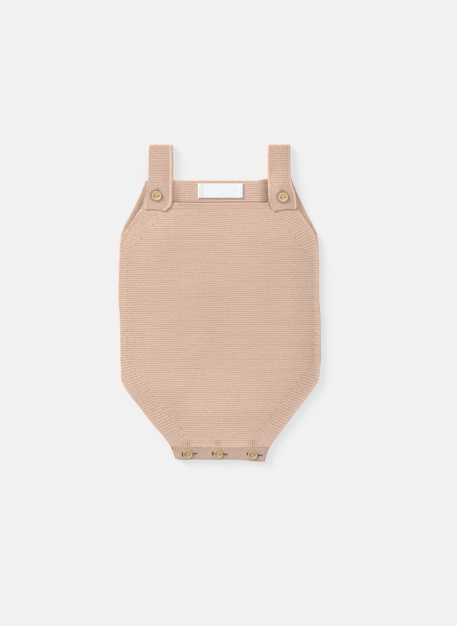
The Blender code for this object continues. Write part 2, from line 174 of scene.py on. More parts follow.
def ridge_ends(panel, ridges, side):
    """Half width at which each ridge meets the side, the armhole, the leg or the band."""
    level = panel.top - ridges * (panel.top - BAND_Y) / panel.ridges
    turn_x = half_width(panel.turns, side, level)
    tilt = along(panel.turns, level, "tilt")

    def outside(x):
        y = ridge_y(panel, side, ridges, x, turn_x, tilt)
        return (y < BAND_Y - 1e-6) | (x > half_width(panel.sections, side * x, y))

    near = turn_x.copy()
    going = np.ones(len(ridges), bool)
    for step in np.arange(0.5, 80, 0.5):
        going &= ~outside(turn_x + step)
        near = np.where(going, turn_x + step, near)
    far = near + 0.5
    for _ in range(20):
        middle = (near + far) / 2
        too_far = outside(middle)
        far = np.where(too_far, middle, far)
        near = np.where(too_far, near, middle)
    return turn_x, tilt, near


def knit_relief(ridges):
    """0 on a ridge and -1 in a groove: broad round ridges and narrow grooves."""
    return -np.abs(2 * (ridges % 1.0) - 1.0) ** 2.4


def edge_round(inset):
    """0 at a piece's edge to 1 where its rounding ends."""
    t = 1.0 - np.clip(inset / ROUND_IN, 0.0, 1.0)
    return np.sqrt(1.0 - t * t)


def faces_of(wall, rounding):
    """Heights of a wall's outer and inner face, which meet halfway at its rounded edge."""
    return wall * (0.5 + 0.5 * rounding), wall * 0.5 * (1 - rounding)


PANEL_COLUMNS = 7         # on each half: four in the slanted border, three to the middle
EDGE_COLUMNS = 4


def panel_place(column, row, upper, panel, under):
    """Places a fashioned panel whose underside is at height under(x, y)."""
    table = np.arange(panel.ridges * panel.cuts + 1) / panel.cuts
    ends = {side: ridge_ends(panel, table, side) for side in (-1, 1)}
    at = np.round(row).astype(int)
    ridges = row / panel.cuts
    left = column < PANEL_COLUMNS
    side = np.where(left, -1.0, 1.0)
    turn_x, tilt, end = (np.where(left, ends[-1][k][at], ends[1][k][at]) for k in range(3))
    border = end - turn_x
    near = np.minimum(border / 12.0, 1.0)
    stations = np.array([
        end, end - ROUND_IN * near, end - SELVEDGE * near, turn_x + border * 0.45,
        turn_x, turn_x * 0.68, turn_x * 0.34, turn_x * 0.0, turn_x * 0.0,
    ])
    from_edge = np.minimum(column, 2 * PANEL_COLUMNS - column)
    station = np.floor(from_edge).astype(int)
    share = from_edge - station
    these = np.arange(len(column))
    x = stations[station, these] * (1 - share) + stations[station + 1, these] * share
    inset = end - x
    from_ends = np.minimum(ridges, panel.ridges - ridges)
    y = ridge_y(panel, side, ridges, x, turn_x, tilt)
    steady = ease(from_ends / 6)
    y = y + steady * (0.45 * RIDGE_DRIFT(side * x, y) + 0.1 * RIDGE_JITTER(side * x, y))
    x = side * x
    # The armhole and leg edges are smooth; at the side seams the ridges run to the edge
    pitch = (panel.top - BAND_Y) / panel.ridges
    from_neck, from_band = ridges * pitch, (panel.ridges - ridges) * pitch
    in_right_leg = (side > 0) * ease((-75 - y) / 15)
    edge = SELVEDGE * ease((np.abs(tilt) - 3) / 9) * (1 - 0.72 * in_right_leg)
    smooth = 1 - ease((inset - edge * 0.45) / (edge * 0.55 + 0.01))
    smooth = np.where(edge < 0.3, 0.0, smooth)
    at_neck = 1 - ease((from_neck - 2.0) / 0.7)
    at_band = 1 - ease((from_band - 3.0) / 0.8)
    smooth = np.maximum(smooth, np.maximum(at_neck, at_band))
    # The upper end is a free edge; the lower one is linked to its crotch band
    rounding = edge_round(np.minimum(inset, from_neck + 0.08))
    # The ridges stand out most in the middle and the right leg's border, least at the band
    stand = 1.45 - 0.55 * ease(np.abs(x) / 60) - 0.25 * ease((x - 20) / 30) * ease((y - 50) / 20)
    stand = stand + 1.05 * hump(x, 38) * hump(y + 22, 48)
    stand = stand * (1 - 0.46 * ease((-50 - y) / 60))
    at_ends = np.maximum(0.85 * (1 - ease((from_band - 8) / 24)),
                         0.45 * (1 - ease((from_neck - 9) / 8)))
    in_left_leg = (side < 0) * ease((-80 - y) / 25)
    in_right_arm = (side > 0) * ease((y - 50) / 20)
    in_border = 1.9 * in_right_leg - 0.4 * in_right_arm
    in_border = in_border + (0.15 - 0.67 * ease((border - inset) / 18)) * in_left_leg
    in_border = in_border * ease((border - inset + 2) / 4)
    stand = stand * (1 - at_ends) * (1 + in_border)
    relief = panel.depth * stand * (1 - SMOOTHED * smooth) * knit_relief(ridges) * rounding
    low = under(x, y)
    outer, inner = faces_of(WALL, rounding)
    z = np.where(upper > 0.5, low + outer + relief, low + inner - relief * panel.both_ridged)
    tilted = inset / np.cos(np.radians(tilt))
    turned = np.abs(x) - turn_x
    return Cloth(x, y, z, smooth, inset, turned, from_neck, ridges, x / STITCH,
                 side * tilted / STITCH)


def mesh_of(bm, name):
    """A finished shape as a mesh."""
    mesh = bpy.data.meshes.new(name)
    bm.to_mesh(mesh)
    bm.free()
    return mesh


def placed(data):
    """A mesh, light or camera as an object of the scene, under the same name."""
    made = bpy.data.objects.new(data.name, data)
    bpy.context.scene.collection.objects.link(made)
    return made


def new_piece(mesh, material):
    """A mesh as an object at the origin, with its faces turned outwards."""
    bm = bmesh.new()
    bm.from_mesh(mesh)
    bmesh.ops.recalc_face_normals(bm, faces=bm.faces[:])
    bm.to_mesh(mesh)
    bm.free()
    mesh.shade_smooth()
    mesh.materials.append(material)
    return placed(mesh)


def knit_wall(name, material, columns, rows, place, cuts=0, border=0, slits=(), cut_lower=False):
    """A closed knit wall: a grid, extruded, its columns cut finer, then placed point by point.

    The outermost border columns belong to a slanted border. A slit is (first column, last
    column, first row, last row) of faces left out.
    """
    bm = bmesh.new()
    bmesh.ops.create_grid(bm, x_segments=columns, y_segments=rows, size=0.5)
    column_of, row_of, upper_of = (
        bm.verts.layers.float.new(word) for word in ("column", "row", "upper")
    )
    for vert in bm.verts:
        vert[column_of] = round((vert.co.x + 0.5) * columns)
        vert[row_of] = round((0.5 - vert.co.y) * rows)

    def in_slit(face):
        column, row = (sum(v[layer] for v in face.verts) / 4 for layer in (column_of, row_of))
        return any(a < column < b and top < row < low for a, b, top, low in slits)

    bmesh.ops.delete(bm, geom=[face for face in bm.faces if in_slit(face)], context="FACES")
    lifted = bmesh.ops.extrude_face_region(bm, geom=bm.faces[:])["geom"]
    for vert in (item for item in lifted if isinstance(item, bmesh.types.BMVert)):
        vert[upper_of] = 1.0
    if cuts:
        across = [
            edge for edge in bm.edges
            if (cut_lower or all(v[upper_of] > 0.5 for v in edge.verts))
            and edge.verts[0][column_of] != edge.verts[1][column_of]
        ]
        bmesh.ops.subdivide_edges(bm, edges=across, cuts=cuts, use_grid_fill=True)
    bmesh.ops.triangulate(bm, faces=[face for face in bm.faces if len(face.verts) > 4])
    mesh = mesh_of(bm, name)

    column, row, upper = (np.empty(len(mesh.vertices), np.float32) for _ in range(3))
    for word, values in (("column", column), ("row", row), ("upper", upper)):
        mesh.attributes[word].data.foreach_get("value", values)
    cloth = place(column.astype(float), row.astype(float), upper)
    points = np.stack((cloth.x, cloth.y, cloth.z), axis=1) * MM
    mesh.vertices.foreach_set("co", points.astype(np.float32).ravel())
    for word in ("smooth", "inset", "turned", "ended"):
        layer = mesh.attributes.new(word, "FLOAT", "POINT")
        layer.data.foreach_set("value", getattr(cloth, word).astype(np.float32))

    # Stitches are counted from the middle, but from the edge in a slanted border
    corner_vert = np.empty(len(mesh.loops), np.int32)
    mesh.loops.foreach_get("vertex_index", corner_vert)
    corners = np.empty(len(mesh.polygons), np.int32)
    mesh.polygons.foreach_get("loop_total", corners)
    face_of = np.repeat(np.arange(len(mesh.polygons)), corners)
    middle = np.bincount(face_of, weights=column[corner_vert]) / corners
    in_border = np.minimum(middle, columns - middle)[face_of] < border
    u = np.where(in_border, cloth.slanted[corner_vert], cloth.level[corner_vert])
    uv = np.stack((u, cloth.ridges[corner_vert]), axis=1).astype(np.float32)
    mesh.uv_layers.new(name="stitches").data.foreach_set("uv", uv.ravel())
    for word in ("column", "row", "upper"):
        mesh.attributes.remove(mesh.attributes[word])
    mesh.update()
    return new_piece(mesh, material)


def math_node(operation, swapped=False):
    """An operator of a shader value, which adds one Math node."""

    def worked_out(self, other):
        terms = (other, self) if swapped else (self, other)
        return self.finish.math(operation, *terms)

    return worked_out


class Amount:
    """One shader value: sums written on it add the Math nodes that work it out."""

    __add__ = __radd__ = math_node("ADD")
    __sub__ = math_node("SUBTRACT")
    __rsub__ = math_node("SUBTRACT", swapped=True)
    __mul__ = __rmul__ = math_node("MULTIPLY")
    __truediv__ = math_node("DIVIDE")

    def __init__(self, finish, socket):
        self.finish = finish
        self.socket = socket


class Finish:
    """A material in the making. Every node comes from node(), with its settings and inputs."""

    def __init__(self, name, roughness, **constants):
        self.material = bpy.data.materials.new(name)
        self.material.use_nodes = True
        self.tree = self.material.node_tree
        self.shader = self.tree.nodes["Principled BSDF"]
        self.shader.inputs["Roughness"].default_value = roughness
        for word, value in constants.items():
            socket = word.replace("_", " ").title().replace("Ior", "IOR")
            self.shader.inputs[socket].default_value = value

    def node(self, kind, settings=None, inputs=None, output=0):
        made = self.tree.nodes.new("ShaderNode" + kind)
        for word, value in (settings or {}).items():
            setattr(made, word, value)
        for socket, value in (inputs or {}).items():
            self.feed(made.inputs[socket], value)
        return Amount(self, made.outputs[output])

    def feed(self, socket, value):
        if isinstance(value, Amount):
            self.tree.links.new(value.socket, socket)
        else:
            socket.default_value = value

    def math(self, operation, *terms):
        return self.node("Math", {"operation": operation}, dict(enumerate(terms)))

    def own(self, word):
        return self.node("Attribute", {"attribute_name": word}, output="Fac")

    def split(self, vector):
        apart = self.node("SeparateXYZ", None, {0: vector}).socket.node
        return [Amount(self, socket) for socket in apart.outputs]

    def ramp(self, value, low, high):
        """0 below low, 1 above high, soft in between."""
        return self.node("MapRange", {"interpolation_type": "SMOOTHSTEP"},
                         {"Value": value, "From Min": low, "From Max": high})

    def near(self, value, centre, reach):
        """1 at the centre, falling softly to 0 at reach from it."""
        return 1 - self.ramp(self.math("ABSOLUTE", value - centre), 0.0, reach)

    def spot(self, x, y, centre_x, centre_y, reach_x, reach_y):
        """1 at a point of the cloth, falling softly to 0 at its reach on either side."""
        return self.near(x, centre_x, reach_x) * self.near(y, centre_y, reach_y)

    def speckle(self, vector, scale, detail=2.0):
        return self.node("TexNoise", None, {"Vector": vector, "Scale": scale, "Detail": detail})

    def streaks(self, x, y, detail=2.0):
        """Noise in two directions, finer the more x and y are multiplied."""
        return self.speckle(self.node("CombineXYZ", None, {0: x, 1: y}), 1.0, detail)

    def tint(self, factor, first, second):
        return self.node("Mix", {"data_type": "RGBA"}, {0: factor, 6: first, 7: second}, output=2)

    def shade(self, colour, amount):
        """The colour, made darker or lighter by an amount."""
        grey = self.node("CombineColor", None, {0: amount, 1: amount, 2: amount})
        return self.node("Mix", {"data_type": "RGBA", "blend_type": "MULTIPLY"},
                         {0: 1.0, 6: colour, 7: grey}, output=2)

    def done(self, colour, height, depth, roughness=None):
        """Colour, bump height of that depth in millimetres, and roughness where it varies."""
        self.feed(self.shader.inputs["Base Color"], colour)
        bump = self.node("Bump", None, {"Height": height, "Distance": depth * MM})
        self.feed(self.shader.inputs["Normal"], bump)
        if roughness is not None:
            self.feed(self.shader.inputs["Roughness"], roughness)
        return self.material


TWO_PI = 2 * pi
YARN = (0.73, 0.516, 0.411, 1.0)
# The yarn's colour in painted shade, used between the yarns and in holes
YARN_IN_SHADE = (0.487, 0.312, 0.22, 1.0)
YARN_HEIGHT = 0.27        # from the top of a stitch down to the gap beside it


def knit_finish(name, extra, wale=1.0, painted_lightness=1.0):
    """Combed cotton yarn, knitted in ridges of purl stitches, smooth jersey where smooth is 1.

    wale is the width of a jersey stitch, in stitches of the ridges. extra(finish, stitches
    across, ridges down, x, y), x and y in millimetres, gives a piece's own holes, from 0 to 1,
    and how much darker it is painted, as painted shade, or lighter below 0, as painted light.
    Each piece's whole tone is also set on its own, so that its copy of the one yarn is painted
    lighter or darker, as painted light and shade.
    """
    knit = Finish(name, 0.92, sheen_weight=0.22, sheen_roughness=0.45, specular_ior_level=0.2)
    knit.shader.inputs["Sheen Tint"].default_value = (1.0, 0.9, 0.82, 1.0)
    across, down, _ = knit.split(knit.node("UVMap", {"uv_map": "stitches"}))
    place = knit.node("TexCoord", output="Object")
    x, y = (metres / MM for metres in knit.split(place)[:2])
    smooth, turned, ended = knit.own("smooth"), knit.own("turned"), knit.own("ended")

    # A purl ridge is one yarn that waves over and under its neighbours
    in_ridge = knit.math("FRACT", down) - 0.5
    swing = knit.math("COSINE", across * TWO_PI)
    from_yarn = (in_ridge - swing * 0.13) / 0.5
    purl = knit.math("MAXIMUM", 1 - from_yarn * from_yarn, 0.0)
    lobes = 1 - knit.math("ABSOLUTE", swing) * 0.25
    purl = purl * lobes

    # Jersey is columns of V-shaped stitches, two legs to a column
    in_wale = knit.math("FRACT", across / wale) - 0.5
    leg = knit.math("ABSOLUTE", in_wale) * 2
    rung = knit.math("FRACT", down * 1.6 + leg * 0.55) - 0.5
    legs = 1 - (leg - 0.5) * (leg - 0.5) * 3.2
    jersey = legs * (1 - rung * rung * 1.6)

    yarn = purl + (jersey - purl) * smooth
    fibre = knit.streaks(across * 6.0, down * 15.0, 3.0) - 0.5
    course = knit.streaks(across * 0.02, down * 0.9, 1.0) - 0.5
    cloudy = knit.speckle(place, 22.0, 3.0) - 0.5
    # Yarn is thicker here and thinner there, so that each ridge comes out uneven
    uneven = knit.streaks(across * 0.75, down * 1.3) - 0.5

    # Fully fashioned decreases leave a small hole and a bright stitch at every third ridge; the
    # hole is painted dark, as painted shade, and the stitch lighter, as a painted highlight
    beat = knit.math("FRACT", down / 3.0) * 3.0
    mark = knit.near(beat, 1.5, 0.5) * (1 - smooth) * knit.ramp(ended, 9.0, 12.0)
    hole = mark * knit.near(turned, 0.3, 1.0)
    bright = mark * knit.near(turned, 2.4, 1.3)

    own_holes, painted_shade = extra(knit, across, down, x, y)
    hole = knit.math("MAXIMUM", hole, own_holes)
    # Between the yarns and in the holes the yarn is painted a deeper colour, as painted shade
    shade_between_yarns = (1 - yarn) * 0.434
    light = 1.0 + fibre * 0.10 + course * 0.05 + cloudy * 0.06 + uneven * 0.40
    light = (light + smooth * 0.035 + bright * 0.07) * painted_lightness * (1 - painted_shade)
    colour = knit.tint(knit.math("MINIMUM", shade_between_yarns + hole * 0.85, 1.0), YARN, YARN_IN_SHADE)
    height = yarn + fibre * 0.25 + uneven * 0.6 - hole * 1.6 + bright * 0.5
    return knit.done(knit.shade(colour, light), height, YARN_HEIGHT)


def back_under(x, y):
    """The back lies flat on the surface."""
    return x * 0.0


def back_painted_shade(knit, across, down, x, y):
    """The back is painted darker beside the right strap, along the front's neck edge and at the
    left armhole, as painted shade, and lighter beside the left strap and at the right armhole,
    as painted light.
    """
    strap_shade_and_light = knit.near(x, 57.5, 15.0) * 0.46 - knit.near(x, -54.5, 5.5) * 0.42
    strap_shade_and_light = strap_shade_and_light * knit.ramp(y, 105, 118) * (1 - knit.ramp(y, 143.5, 150))
    aside = knit.math("ABSOLUTE", x)
    middle = 1 - knit.ramp(aside, 0, 50)
    neck_edge_shade = knit.near(y + middle * 0.7, NECK_Y + 0.7, 2.2) * knit.ramp(aside, 57, 54)
    neck_edge_shade = neck_edge_shade * (0.3 - knit.ramp(x, -46, -52) * 0.18)
    inset = knit.own("inset")
    left = knit.ramp(inset, -2.0, 5.5) * knit.ramp(x, -80, -95) * knit.ramp(y, 50, 75)
    right = knit.ramp(inset, 1.0, 7.0) * knit.ramp(x, 80, 85) * knit.near(y, NECK_Y, 25)
    return 0.0, strap_shade_and_light + neck_edge_shade + left * 0.40 - right * 0.32


def back_place(column, row, upper):
    """The back, its armhole edges pressed thinner than the rest."""
    cloth = panel_place(column, row, upper, BACK, back_under)
    pressed = (1 - ease(cloth.inset / 8)) * ease((cloth.y - 76) / 14)
    return cloth._replace(z=cloth.z * (1 - 0.45 * pressed))


back = knit_wall("knit_back", knit_finish("ridged_knit_back", back_painted_shade, painted_lightness=1.015),
                 2 * PANEL_COLUMNS, BACK.ridges * BACK.cuts, back_place, cuts=3,
                 border=EDGE_COLUMNS, cut_lower=True)
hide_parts("back_panel")
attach(back, "root")

# ---- Neck label
# A woven satin label, left blank. Its ends are folded under and sewn to the inside of the
# back's neck with white thread.

LABEL_LENGTH, LABEL_WIDTH = 54.0, 17.4
LABEL_X, LABEL_Y = 0.4, 132.7
LABEL_FOLD = 4.5          # folded under at each end
LABEL_COLUMNS, LABEL_ROWS = 60, 18
LABEL_THICK = 0.34
LABEL_WHITE = (0.87, 0.885, 0.90, 1.0)


def label_place(column, row, upper):
    """Places the label: doubled at its folded ends, sagging a little between them."""
    x = (column / LABEL_COLUMNS - 0.5) * LABEL_LENGTH
    y = LABEL_Y + (0.5 - row / LABEL_ROWS) * LABEL_WIDTH
    from_end = LABEL_LENGTH / 2 - np.abs(x)
    from_long = LABEL_WIDTH / 2 - np.abs(y - LABEL_Y)
    doubled = LABEL_THICK + 0.3 * (1 - ease((from_end - LABEL_FOLD) / 0.8))
    rounding = edge_round(np.minimum(from_end * 2.2, from_long * 3.5 + 0.1))
    sag = 0.16 * np.sin(x / 11 + 0.8) * np.sin(y / 5) + 0.12 * np.cos(x / 6.2)
    sag = sag * ease(from_end / 12)
    low = WALL + SEAM + 0.12 + sag * 0.5
    z = low + np.where(upper > 0.5, doubled * (0.5 + 0.5 * rounding), 0.0)
    x = x + 0.08 * np.sin(y * 0.9) * (from_end < 0.3)
    nothing = x * 0
    return Cloth(LABEL_X + x, y, z, nothing, from_end, nothing, from_long, y, x, x)


def label_finish():
    """White polyester satin: fine floats along the label, denser woven edges."""
    satin = Finish("woven_satin", 0.5, sheen_weight=0.15, specular_ior_level=0.35)
    across, down, _ = satin.split(satin.node("UVMap", {"uv_map": "stitches"}))
    floats = satin.math("SINE", down * 24.0 + satin.math("FLOOR", across * 3.0) * 2.1)
    weft = satin.math("SINE", across * 15.0)
    from_end, from_long = satin.own("inset"), satin.own("ended")
    crease = satin.near(from_end, LABEL_FOLD, 0.5)
    selvedge = 1 - satin.ramp(from_long, 0.5, 0.9)
    cloudy = satin.speckle(satin.node("TexCoord", output="Object"), 160.0)
    # The crease at each fold is painted darker, as painted shade
    light = 1.0 + floats * 0.012 + (cloudy - 0.5) * 0.05 - crease * 0.06 - selvedge * 0.04
    height = floats * 0.5 + weft * 0.3 - crease * 1.5 + selvedge
    return satin.done(satin.shade(LABEL_WHITE, light), height, 0.05, 0.45 + floats * 0.06)


label = knit_wall("woven_label", label_finish(), LABEL_COLUMNS, LABEL_ROWS, label_place)
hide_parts("neck_label")
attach(label, "root")


Stitch = namedtuple("Stitch", "start end rise thick")


def thread_arch(bm, start, end, rise, thick):
    """One stitch of sewing thread: a flattened half ring from start to end."""
    span = end - start
    ring = bmesh.ops.create_circle(bm, cap_ends=True, segments=6, radius=thick / 2)["verts"]
    bmesh.ops.translate(bm, verts=ring, vec=(-0.5 * span.length, 0, 0))
    faces = list(ring[0].link_faces)
    before = set(bm.verts)
    bmesh.ops.spin(bm, geom=faces + ring, cent=(0, 0, 0), axis=(0, 1, 0), angle=pi, steps=5,
                   use_merge=False)
    made = [vert for vert in bm.verts if vert not in before] + ring
    for vert in made:
        vert.co.z *= rise / max(0.5 * span.length, 0.01)
    turn = Vector((1, 0, 0)).rotation_difference(Vector((span.x, span.y, 0)))
    bmesh.ops.rotate(bm, verts=made, cent=(0, 0, 0), matrix=turn.to_matrix())
    bmesh.ops.translate(bm, verts=made, vec=(start + end) / 2)


def thread_piece(name, stitches, material):
    """Stitches as one piece, in millimetres."""
    bm = bmesh.new()
    for stitch in stitches:
        thread_arch(bm, *stitch)
    bmesh.ops.scale(bm, vec=(MM, MM, MM), verts=bm.verts[:])
    piece = new_piece(mesh_of(bm, name), material)
    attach(piece, "root")
    return piece


def thread_finish(name, colour):
    """Two-ply sewing cotton: fine twist lines and a little fuzz."""
    twist = Finish(name, 0.7, sheen_weight=0.2)
    place = twist.node("TexCoord", output="Object")
    x, y, z = twist.split(place)
    ply = twist.math("SINE", (x + y * 0.8 + z * 0.6) * 9000.0)
    fuzz = twist.speckle(place, 2600.0)
    light = 1.0 + ply * 0.06 + (fuzz - 0.5) * 0.16
    return twist.done(twist.shade(colour, light), ply + fuzz, 0.04)


label_stitches = []
for end_side in (-1, 1):
    for count in range(-3, 4):
        at = Vector((LABEL_X + end_side * (LABEL_LENGTH / 2 - 1.5), LABEL_Y + count * 2.25,
                     WALL + SEAM + 0.65))
        half = Vector((0, 0.95, 0))
        label_stitches.append(Stitch(at - half, at + half, rise=0.28, thick=0.34))
label_thread = thread_piece("label_thread", label_stitches,
                            thread_finish("white_sewing_thread", (0.84, 0.84, 0.83, 1.0)))

# ---- Front panel
# The same ridged knit, linked to the back down both sides. Its neckline is a smooth doubled
# band with a chained edge, its top corners carry the strap buttons, and soft folds run over it.

LOFT = 2.5                # how far the front's middle stands off the back
Fold = namedtuple("Fold", "x y angle length width height")
FRONT_SECTIONS = rows_of(
    Section,
    (140, 85.0, 85.0), (124, 89.6, 88.8), (112, 93.5, 92.8), (106, 98.6, 97.0),
    (98, 103.5, 102.2), (92, 107.6, 106.6), (86, 112.0, 110.6), (80, 115.8, 113.8),
) + SIDES
NECK_TURNS = rows_of(Turn, (118.5, 56, 56, 20), (114, 58.5, 59, 21), (108, 65.5, 66, 22.5))
FRONT_TURNS = NECK_TURNS + LOWER_TURNS
FRONT = Panel(FRONT_SECTIONS, FRONT_TURNS, top=NECK_Y, sag=0.7, ridges=112, rise=(9.0, 9.0),
              rise_from=None, rise_over=15.0, rise_ridges=9.0 / 2.6, cuts=7,
              depth=RIDGE_DEPTH, both_ridged=False)
FOLDS = rows_of(
    Fold,
    (-78, 62, 62, 44, 13, 0.5), (82, 56, -58, 50, 14, 0.6), (-30, 92, 8, 60, 16, -0.35),
    (34, 22, 80, 90, 26, 0.4), (-46, -18, 84, 80, 24, -0.4), (-74, -84, -50, 42, 13, 0.5),
    (70, -92, 52, 46, 14, 0.45), (4, -128, 4, 70, 15, 0.4),
    # Small pulls at the strap ends, the leg corners and above the crotch buttons
    (-60, 104, -62, 13, 4.5, 0.35), (61, 102, 60, 14, 4.5, 0.35), (-88, 97, 40, 12, 4, -0.3),
    (90, 95, -42, 13, 4, -0.3), (-38, -160, 84, 14, 5, 0.3), (0, -158, 95, 15, 5, 0.28),
    (39, -160, 98, 14, 5, 0.3),
)
SETTLING = soft_waves(seed=12, count=9, shortest=28, longest=95)


def fold_height(x, y):
    """Soft folds and small pulls, each a long hump in its own direction."""
    total = 0.0
    for fold in FOLDS:
        turn = radians(fold.angle)
        lengthwise = (x - fold.x) * cos(turn) + (y - fold.y) * sin(turn)
        crosswise = (y - fold.y) * cos(turn) - (x - fold.x) * sin(turn)
        total = total + fold.height * hump(lengthwise, fold.length) * hump(crosswise, fold.width)
    return total


def front_under(x, y):
    """Height of the front's underside: on the back at its edges, lofted in between."""
    from_side = half_width(FRONT_SECTIONS, x, y) - np.abs(x)
    at_neck = 0.2 + 0.8 * ease((NECK_Y - y) / 45)
    at_band = ease((y - BAND_Y) / 50)
    # The right flank rises over a longer way than the left one
    rightwards = ease((x + 40) / 80)
    spread = 0.5 * (ease(from_side / 34) + ease(from_side / (50 + 35 * rightwards)))
    lift = LOFT + fold_height(x, y) + 0.22 * SETTLING(x, y)
    return WALL + SEAM + np.maximum(spread * at_neck * at_band * lift, 0.0)


NECK_HOLE_ROWS = ((3.0, 1.0), (6.9, 0.85))    # distance from the edge, strength
PULL_APART = 2.4          # from one pulled stitch to the next
Button = namedtuple("Button", "node x y turn")
CROTCH_BUTTONS = rows_of(
    Button,
    ("crotch_button_left", -38.4, -180.6, 8), ("crotch_button_middle", -2.1, -180.6, -6),
    ("crotch_button_right", 38.8, -181.6, 14),
)


def front_holes_and_painted_shade(knit, across, down, x, y):
    """Holes of the chained neck edge and pulls above the crotch buttons, painted dark as painted
    shade, and painted light and shade over the rest of the front.
    """
    from_neck, inset, turned = (knit.own(word) for word in ("ended", "inset", "turned"))
    hole = knit.near(knit.math("FRACT", across * 0.87), 0.5, 0.42)
    hole = hole * (1 - knit.ramp(x, -45, 0) * 0.5)
    hole = hole * sum(knit.near(from_neck, from_edge, 1.05) * strength
                      for from_edge, strength in NECK_HOLE_ROWS)
    pulls = 0.0
    for button in CROTCH_BUTTONS:
        lines = knit.math("COSINE", (x - button.x) * (TWO_PI / PULL_APART)) * 0.5 + 0.5
        pulls = lines * knit.spot(x, y, button.x, BAND_Y + 4.4, 7.5, 7.2) * 0.9 + pulls
    # Towards the right side, the left side and the left leg the cloth is painted darker, as painted
    # shade
    painted_light_and_shade = (knit.ramp(x, 15, 65) * 0.035 + knit.ramp(x, 70, 125) * 0.07
              + knit.ramp(x, -70, -105) * knit.ramp(inset, 3, 15) * 0.055
              + knit.ramp(x, -35, -55) * knit.ramp(y, -95, -120) * 0.06)
    # Along the right edge a painted highlight, and beside it the painted shade of a dip
    right_edge = knit.ramp(x, 70, 100)
    edge_light = 0.15 - knit.ramp(y, -40, -80) * 0.06 - knit.ramp(y, 55, 75) * 0.09
    painted_light_and_shade = painted_light_and_shade - right_edge * (1 - knit.ramp(inset, 0, 8.5)) * edge_light
    dip = knit.near(inset, 11, 7) * knit.ramp(y, 20, -60) * (1 - knit.ramp(y, -70, -90))
    painted_light_and_shade = painted_light_and_shade + right_edge * dip * 0.05
    # In the legs' slanted borders the valleys between the ridges are painted darker, as painted
    # shade
    left_leg = knit.ramp(x, -30, -40) * (1 - knit.ramp(turned, 5, 11))
    leg_valley_shade = (knit.ramp(x, 30, 40) + left_leg) * knit.ramp(turned, -0.5, 1.0)
    leg_valley_shade = leg_valley_shade * knit.ramp(y, -80, -100)
    painted_light_and_shade = painted_light_and_shade + knit.math("COSINE", down * TWO_PI) * leg_valley_shade * 0.055
    # Along the left armhole's edge, painted shade low down and a painted highlight higher up
    left_armhole_shading = (1 - knit.ramp(inset, 1.5, 6.0)) * knit.ramp(y, 55, 75)
    left_armhole_shading = left_armhole_shading * (0.10 - knit.ramp(y, 100, 112) * 0.18)
    painted_light_and_shade = painted_light_and_shade + left_armhole_shading * knit.ramp(x, -80, -85)
    # Painted shadow where the right strap leaves the cloth; painted light at the straps' ends and
    # at the left strap's corner
    from_strap = x - 56.8 - (NECK_Y + 3.0 - y) * 0.42
    strap_shadow = knit.spot(from_strap, y, 0, 115.5, 2.6, 8.0) * 0.55
    ends = knit.spot(knit.math("ABSOLUTE", x), y, 76, 109, 20, 2.8) * 0.27
    corner = knit.spot(x + (117.2 - y) * 0.65, y, -54.5, 115.5, 5.5, 8.5) * 0.32
    return hole + pulls, painted_light_and_shade + strap_shadow + hole * 0.18 - ends - corner


front = knit_wall("knit_front", knit_finish("ridged_knit_front", front_holes_and_painted_shade),
                  2 * PANEL_COLUMNS, FRONT.ridges * FRONT.cuts,
                  partial(panel_place, panel=FRONT, under=front_under), cuts=4,
                  border=EDGE_COLUMNS)
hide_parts("front_panel")
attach(front, "root")

# ---- Crotch bands
# Two doubled bands of smooth jersey, linked to the panels stitch by stitch. The front one has
# three level buttonholes and is buttoned over the back one.

BAND_END_Y = -187.0
BAND_SAG = 2.4            # at the right half's end
BAND_WALL = 2.0
FRONT_BAND_LOW = WALL + 2 * SEAM
BAND_COLUMNS = 176
BAND_ROWS = 24
BAND_HOLE_LENGTH = 18.4
BandHole = namedtuple("BandHole", "x y lean")     # lean: how much higher its right end lies
BAND_HOLES = rows_of(BandHole, (-37.1, -180.6, 0.5), (-0.8, -180.6, -0.5), (40.8, -181.4, -0.8))
BAND_SECTIONS = rows_of(
    Section,
    (-172.9, 58.9, 58.4), (-175, 57.9, 57.2), (-178, 56.8, 56.1), (-181, 55.6, 55.1),
    (-185, 54.0, 54.0), (-190, 52.3, 52.8),
)


def band_sag(x):
    """How much lower the bands' edge hangs there."""
    return BAND_SAG * ease((x - 18) / 38)


def slit_gape(lengthwise):
    """Half of a buttonhole's opening, from its left end at -1 to its right end at 1.

    The button pulls it open, most at its left end.
    """
    lengthwise = np.clip(lengthwise, -1, 1)
    return 2.8 * (1 - lengthwise ** 2) ** 0.3 * (1 - 0.84 * ease((lengthwise + 0.5) / 1.2))


